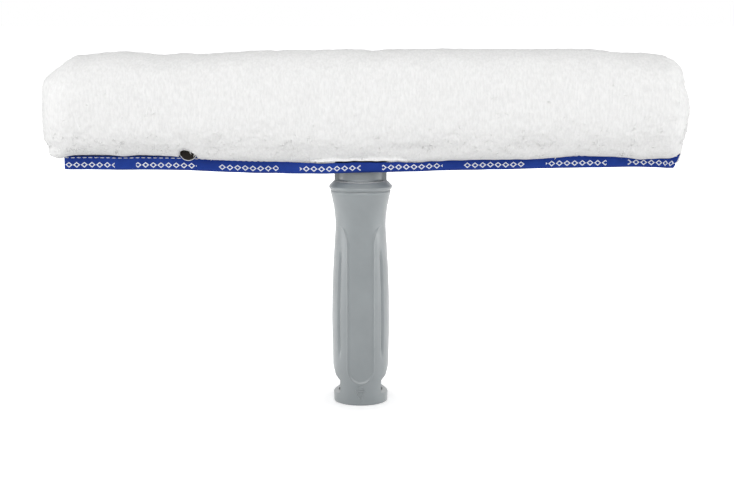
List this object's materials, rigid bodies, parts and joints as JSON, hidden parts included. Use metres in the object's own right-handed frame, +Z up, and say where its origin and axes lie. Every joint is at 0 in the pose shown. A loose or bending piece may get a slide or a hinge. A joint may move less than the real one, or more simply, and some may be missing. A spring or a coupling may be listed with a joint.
{
  "type": "window strip washer",
  "caption": "Strip washer with a thick pile sleeve buttoned over a flat cross bar, on a short moulded handle whose hollow end takes a tapered pole tip.",
  "frame": {"origin": "centre of the handle's end face, on the floor that the part stands on", "axes": "+Z up along the handle, +X along the bar to the right, -Y towards the side with the closing stud"},
  "size_m": [0.3583, 0.0416, 0.2007],
  "materials": {
    "grey_plastic": "satin moulded plastic, neutral cool grey",
    "dark_plastic": "moulded plastic end caps, dark grey",
    "aluminium": "extruded, plain",
    "steel": "plated",
    "white_pile": "short dense white pile on a woven backing",
    "blue_tape": "woven binding tape, royal blue, stitched in white",
    "dark_stud": "domed stud cap, dark brown lacquer"
  },
  "bodies": {
    "washer": {"grip": "grey_plastic", "stem": "grey_plastic", "fixing_screw": "steel", "fixing_washer": "steel", "bar": "aluminium", "end_cap_left": "dark_plastic", "end_cap_right": "dark_plastic", "rivet_left": "aluminium", "rivet_right": "aluminium", "sleeve": "white_pile", "binding_back": "blue_tape", "binding_front_right": "blue_tape", "stud_cap_back": "dark_stud", "stud_nose": "steel"},
    "flap": {"sleeve_flap": "white_pile", "binding_front_left": "blue_tape", "stud_cap_front": "dark_stud", "stud_socket": "steel", "stud_spring": "steel"}
  },
  "joints": [
    {"name": "flap_open", "type": "hinge", "parent": "washer", "child": "flap", "pos_m": [0, -0.0209, 0.177], "axis": [-1, 0, 0], "range_deg": [0, 80]}
  ]
}
